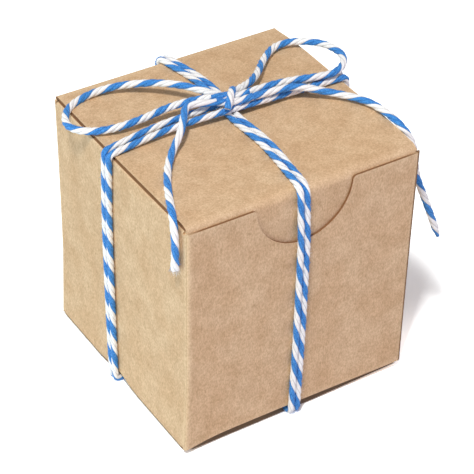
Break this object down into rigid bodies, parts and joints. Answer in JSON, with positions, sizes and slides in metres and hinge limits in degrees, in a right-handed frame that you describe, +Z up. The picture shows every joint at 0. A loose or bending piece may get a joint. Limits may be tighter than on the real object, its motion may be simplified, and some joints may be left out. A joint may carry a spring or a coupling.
{
  "type": "favor box",
  "caption": "Small cube-shaped folding carton of kraft board with a thumb notch, tied both ways round with striped twine and a bow on the lid.",
  "frame": {"origin": "on the surface the box stands on, under the middle of the carton", "axes": "+Z up; the front panel with the thumb notch faces -Y, the lid's hinge is at +Y, +X is to the right seen from the front"},
  "size_m": [0.0661, 0.0538, 0.06],
  "materials": {
    "carton": "matte",
    "wrap_front_back": "matte",
    "wrap_left_right": "matte",
    "bow_knot": "matte",
    "bow_loop_left": "matte",
    "bow_loop_right": "matte",
    "bow_tail_left": "matte",
    "bow_tail_right": "matte"
  },
  "bodies": {
    "root": {"carton": "carton", "wrap_front_back": "wrap_front_back", "wrap_left_right": "wrap_left_right", "bow_knot": "bow_knot", "bow_loop_left": "bow_loop_left", "bow_loop_right": "bow_loop_right", "bow_tail_left": "bow_tail_left", "bow_tail_right": "bow_tail_right"}
  },
  "joints": []
}
